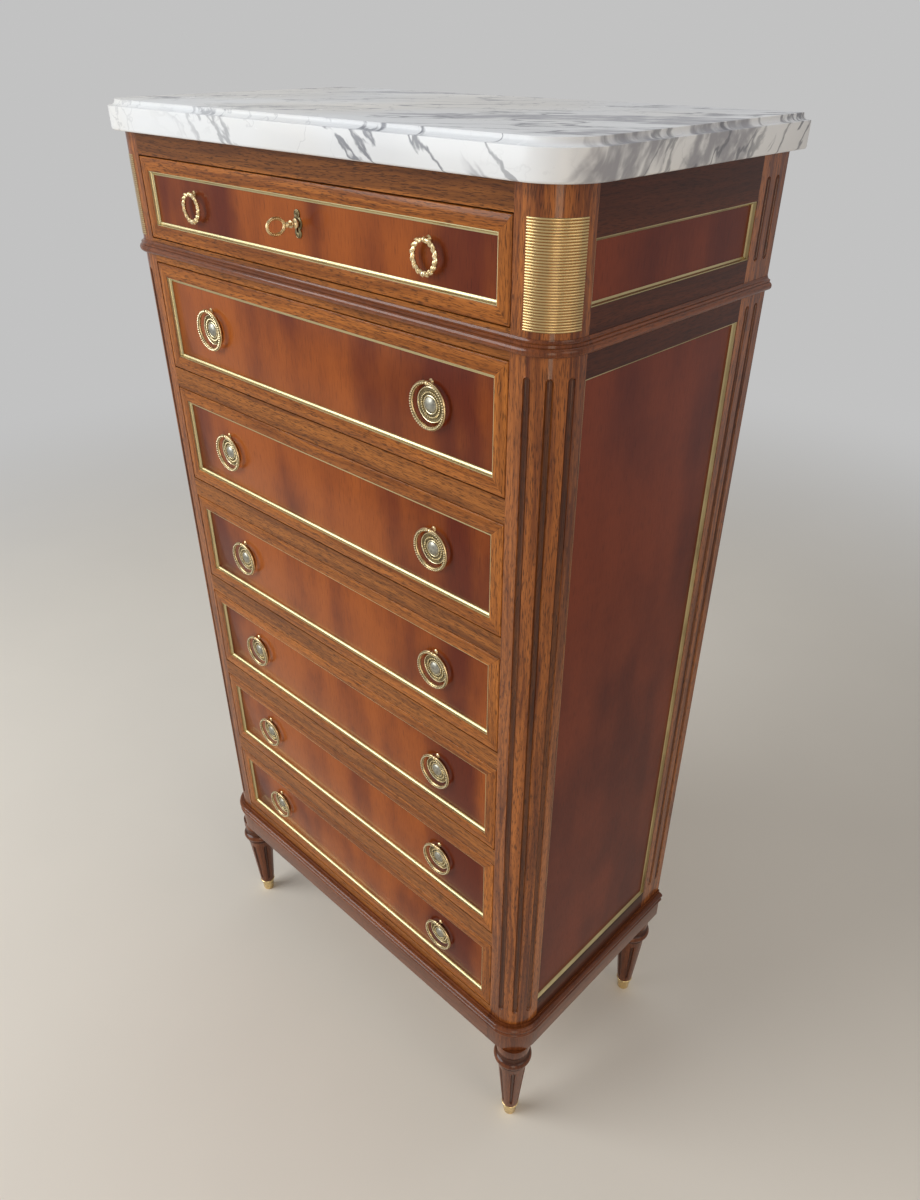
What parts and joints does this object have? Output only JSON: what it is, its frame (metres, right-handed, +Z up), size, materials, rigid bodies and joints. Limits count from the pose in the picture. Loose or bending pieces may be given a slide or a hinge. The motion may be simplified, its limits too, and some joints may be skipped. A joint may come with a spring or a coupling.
{
  "type": "chest of drawers",
  "caption": "Tall neoclassical semainier in mahogany with a marble top, ring-pull drawers in brass-trimmed panels, fluted posts and tapered feet.",
  "frame": {"origin": "middle of the footprint on the floor", "axes": "+Z up, drawers open towards -Y, the viewer's right is +X"},
  "size_m": [0.758, 0.417, 1.45],
  "materials": {
    "mahogany": "gloss",
    "secondary_wood": "matte",
    "marble": "polished",
    "brass": "satin",
    "steel": "satin"
  },
  "bodies": {
    "carcass": {"marble_top": "marble", "front_posts": "mahogany", "rear_stiles": "mahogany", "side_rails": "mahogany", "side_panels": "mahogany", "side_trims": "brass", "front_rails": "mahogany", "drawer_runners": "secondary_wood", "carcass_boards": "secondary_wood", "girdle_moulding": "mahogany", "plinth": "mahogany", "feet": "mahogany", "sabots": "brass", "ribbed_plates": "brass"},
    "drawer_1": {"drawer_1_front": "mahogany", "drawer_1_trim": "brass", "drawer_1_box": "secondary_wood", "drawer_1_pull_mounts": "brass", "lock_case": "brass", "escutcheon": "brass"},
    "drawer_2": {"drawer_2_front": "mahogany", "drawer_2_trim": "brass", "drawer_2_box": "secondary_wood", "drawer_2_pull_mounts": "brass"},
    "drawer_3": {"drawer_3_front": "mahogany", "drawer_3_trim": "brass", "drawer_3_box": "secondary_wood", "drawer_3_pull_mounts": "brass"},
    "drawer_4": {"drawer_4_front": "mahogany", "drawer_4_trim": "brass", "drawer_4_box": "secondary_wood", "drawer_4_pull_mounts": "brass"},
    "drawer_5": {"drawer_5_front": "mahogany", "drawer_5_trim": "brass", "drawer_5_box": "secondary_wood", "drawer_5_pull_mounts": "brass"},
    "drawer_6": {"drawer_6_front": "mahogany", "drawer_6_trim": "brass", "drawer_6_box": "secondary_wood", "drawer_6_pull_mounts": "brass"},
    "drawer_7": {"drawer_7_front": "mahogany", "drawer_7_trim": "brass", "drawer_7_box": "secondary_wood", "drawer_7_pull_mounts": "brass"},
    "ring_1_left": {"drawer_1_ring_left": "brass"},
    "ring_1_right": {"drawer_1_ring_right": "brass"},
    "ring_2_left": {"drawer_2_ring_left": "brass"},
    "ring_2_right": {"drawer_2_ring_right": "brass"},
    "ring_3_left": {"drawer_3_ring_left": "brass"},
    "ring_3_right": {"drawer_3_ring_right": "brass"},
    "ring_4_left": {"drawer_4_ring_left": "brass"},
    "ring_4_right": {"drawer_4_ring_right": "brass"},
    "ring_5_left": {"drawer_5_ring_left": "brass"},
    "ring_5_right": {"drawer_5_ring_right": "brass"},
    "ring_6_left": {"drawer_6_ring_left": "brass"},
    "ring_6_right": {"drawer_6_ring_right": "brass"},
    "ring_7_left": {"drawer_7_ring_left": "brass"},
    "ring_7_right": {"drawer_7_ring_right": "brass"},
    "key": {"key": "brass"},
    "lock_bolt": {"lock_bolt": "steel"}
  },
  "joints": [
    {"name": "drawer_1_slide", "type": "slide", "parent": "carcass", "child": "drawer_1", "axis": [0, -1, 0], "range_m": [0, 0.26]},
    {"name": "drawer_2_slide", "type": "slide", "parent": "carcass", "child": "drawer_2", "axis": [0, -1, 0], "range_m": [0, 0.26]},
    {"name": "drawer_3_slide", "type": "slide", "parent": "carcass", "child": "drawer_3", "axis": [0, -1, 0], "range_m": [0, 0.26]},
    {"name": "drawer_4_slide", "type": "slide", "parent": "carcass", "child": "drawer_4", "axis": [0, -1, 0], "range_m": [0, 0.26]},
    {"name": "drawer_5_slide", "type": "slide", "parent": "carcass", "child": "drawer_5", "axis": [0, -1, 0], "range_m": [0, 0.26]},
    {"name": "drawer_6_slide", "type": "slide", "parent": "carcass", "child": "drawer_6", "axis": [0, -1, 0], "range_m": [0, 0.26]},
    {"name": "drawer_7_slide", "type": "slide", "parent": "carcass", "child": "drawer_7", "axis": [0, -1, 0], "range_m": [0, 0.26]},
    {"name": "ring_1_left_swing", "type": "hinge", "parent": "drawer_1", "child": "ring_1_left", "pos_m": [-0.201, -0.173, 1.3564], "axis": [-1, 0, 0], "range_deg": [0, 170]},
    {"name": "ring_1_right_swing", "type": "hinge", "parent": "drawer_1", "child": "ring_1_right", "pos_m": [0.201, -0.173, 1.3564], "axis": [-1, 0, 0], "range_deg": [0, 170]},
    {"name": "ring_2_left_swing", "type": "hinge", "parent": "drawer_2", "child": "ring_2_left", "pos_m": [-0.201, -0.173, 1.2195], "axis": [-1, 0, 0], "range_deg": [0, 170]},
    {"name": "ring_2_right_swing", "type": "hinge", "parent": "drawer_2", "child": "ring_2_right", "pos_m": [0.201, -0.173, 1.2195], "axis": [-1, 0, 0], "range_deg": [0, 170]},
    {"name": "ring_3_left_swing", "type": "hinge", "parent": "drawer_3", "child": "ring_3_left", "pos_m": [-0.201, -0.173, 1.0508], "axis": [-1, 0, 0], "range_deg": [0, 170]},
    {"name": "ring_3_right_swing", "type": "hinge", "parent": "drawer_3", "child": "ring_3_right", "pos_m": [0.201, -0.173, 1.0508], "axis": [-1, 0, 0], "range_deg": [0, 170]},
    {"name": "ring_4_left_swing", "type": "hinge", "parent": "drawer_4", "child": "ring_4_left", "pos_m": [-0.201, -0.173, 0.8821], "axis": [-1, 0, 0], "range_deg": [0, 170]},
    {"name": "ring_4_right_swing", "type": "hinge", "parent": "drawer_4", "child": "ring_4_right", "pos_m": [0.201, -0.173, 0.8821], "axis": [-1, 0, 0], "range_deg": [0, 170]},
    {"name": "ring_5_left_swing", "type": "hinge", "parent": "drawer_5", "child": "ring_5_left", "pos_m": [-0.201, -0.173, 0.7134], "axis": [-1, 0, 0], "range_deg": [0, 170]},
    {"name": "ring_5_right_swing", "type": "hinge", "parent": "drawer_5", "child": "ring_5_right", "pos_m": [0.201, -0.173, 0.7134], "axis": [-1, 0, 0], "range_deg": [0, 170]},
    {"name": "ring_6_left_swing", "type": "hinge", "parent": "drawer_6", "child": "ring_6_left", "pos_m": [-0.201, -0.173, 0.5447], "axis": [-1, 0, 0], "range_deg": [0, 170]},
    {"name": "ring_6_right_swing", "type": "hinge", "parent": "drawer_6", "child": "ring_6_right", "pos_m": [0.201, -0.173, 0.5447], "axis": [-1, 0, 0], "range_deg": [0, 170]},
    {"name": "ring_7_left_swing", "type": "hinge", "parent": "drawer_7", "child": "ring_7_left", "pos_m": [-0.201, -0.173, 0.376], "axis": [-1, 0, 0], "range_deg": [0, 170]},
    {"name": "ring_7_right_swing", "type": "hinge", "parent": "drawer_7", "child": "ring_7_right", "pos_m": [0.201, -0.173, 0.376], "axis": [-1, 0, 0], "range_deg": [0, 170]},
    {"name": "key_turn", "type": "hinge", "parent": "drawer_1", "child": "key", "pos_m": [0, -0.1715, 1.3468], "axis": [0, -1, 0], "range_deg": [0, 180]},
    {"name": "bolt_throw", "type": "slide", "parent": "drawer_1", "child": "lock_bolt", "axis": [0, 0, 1], "range_m": [0, 0.009]}
  ],
  "couplings": [
    {"joint": "key_turn", "follows": "bolt_throw", "rad_per_m": 349.07}
  ]
}
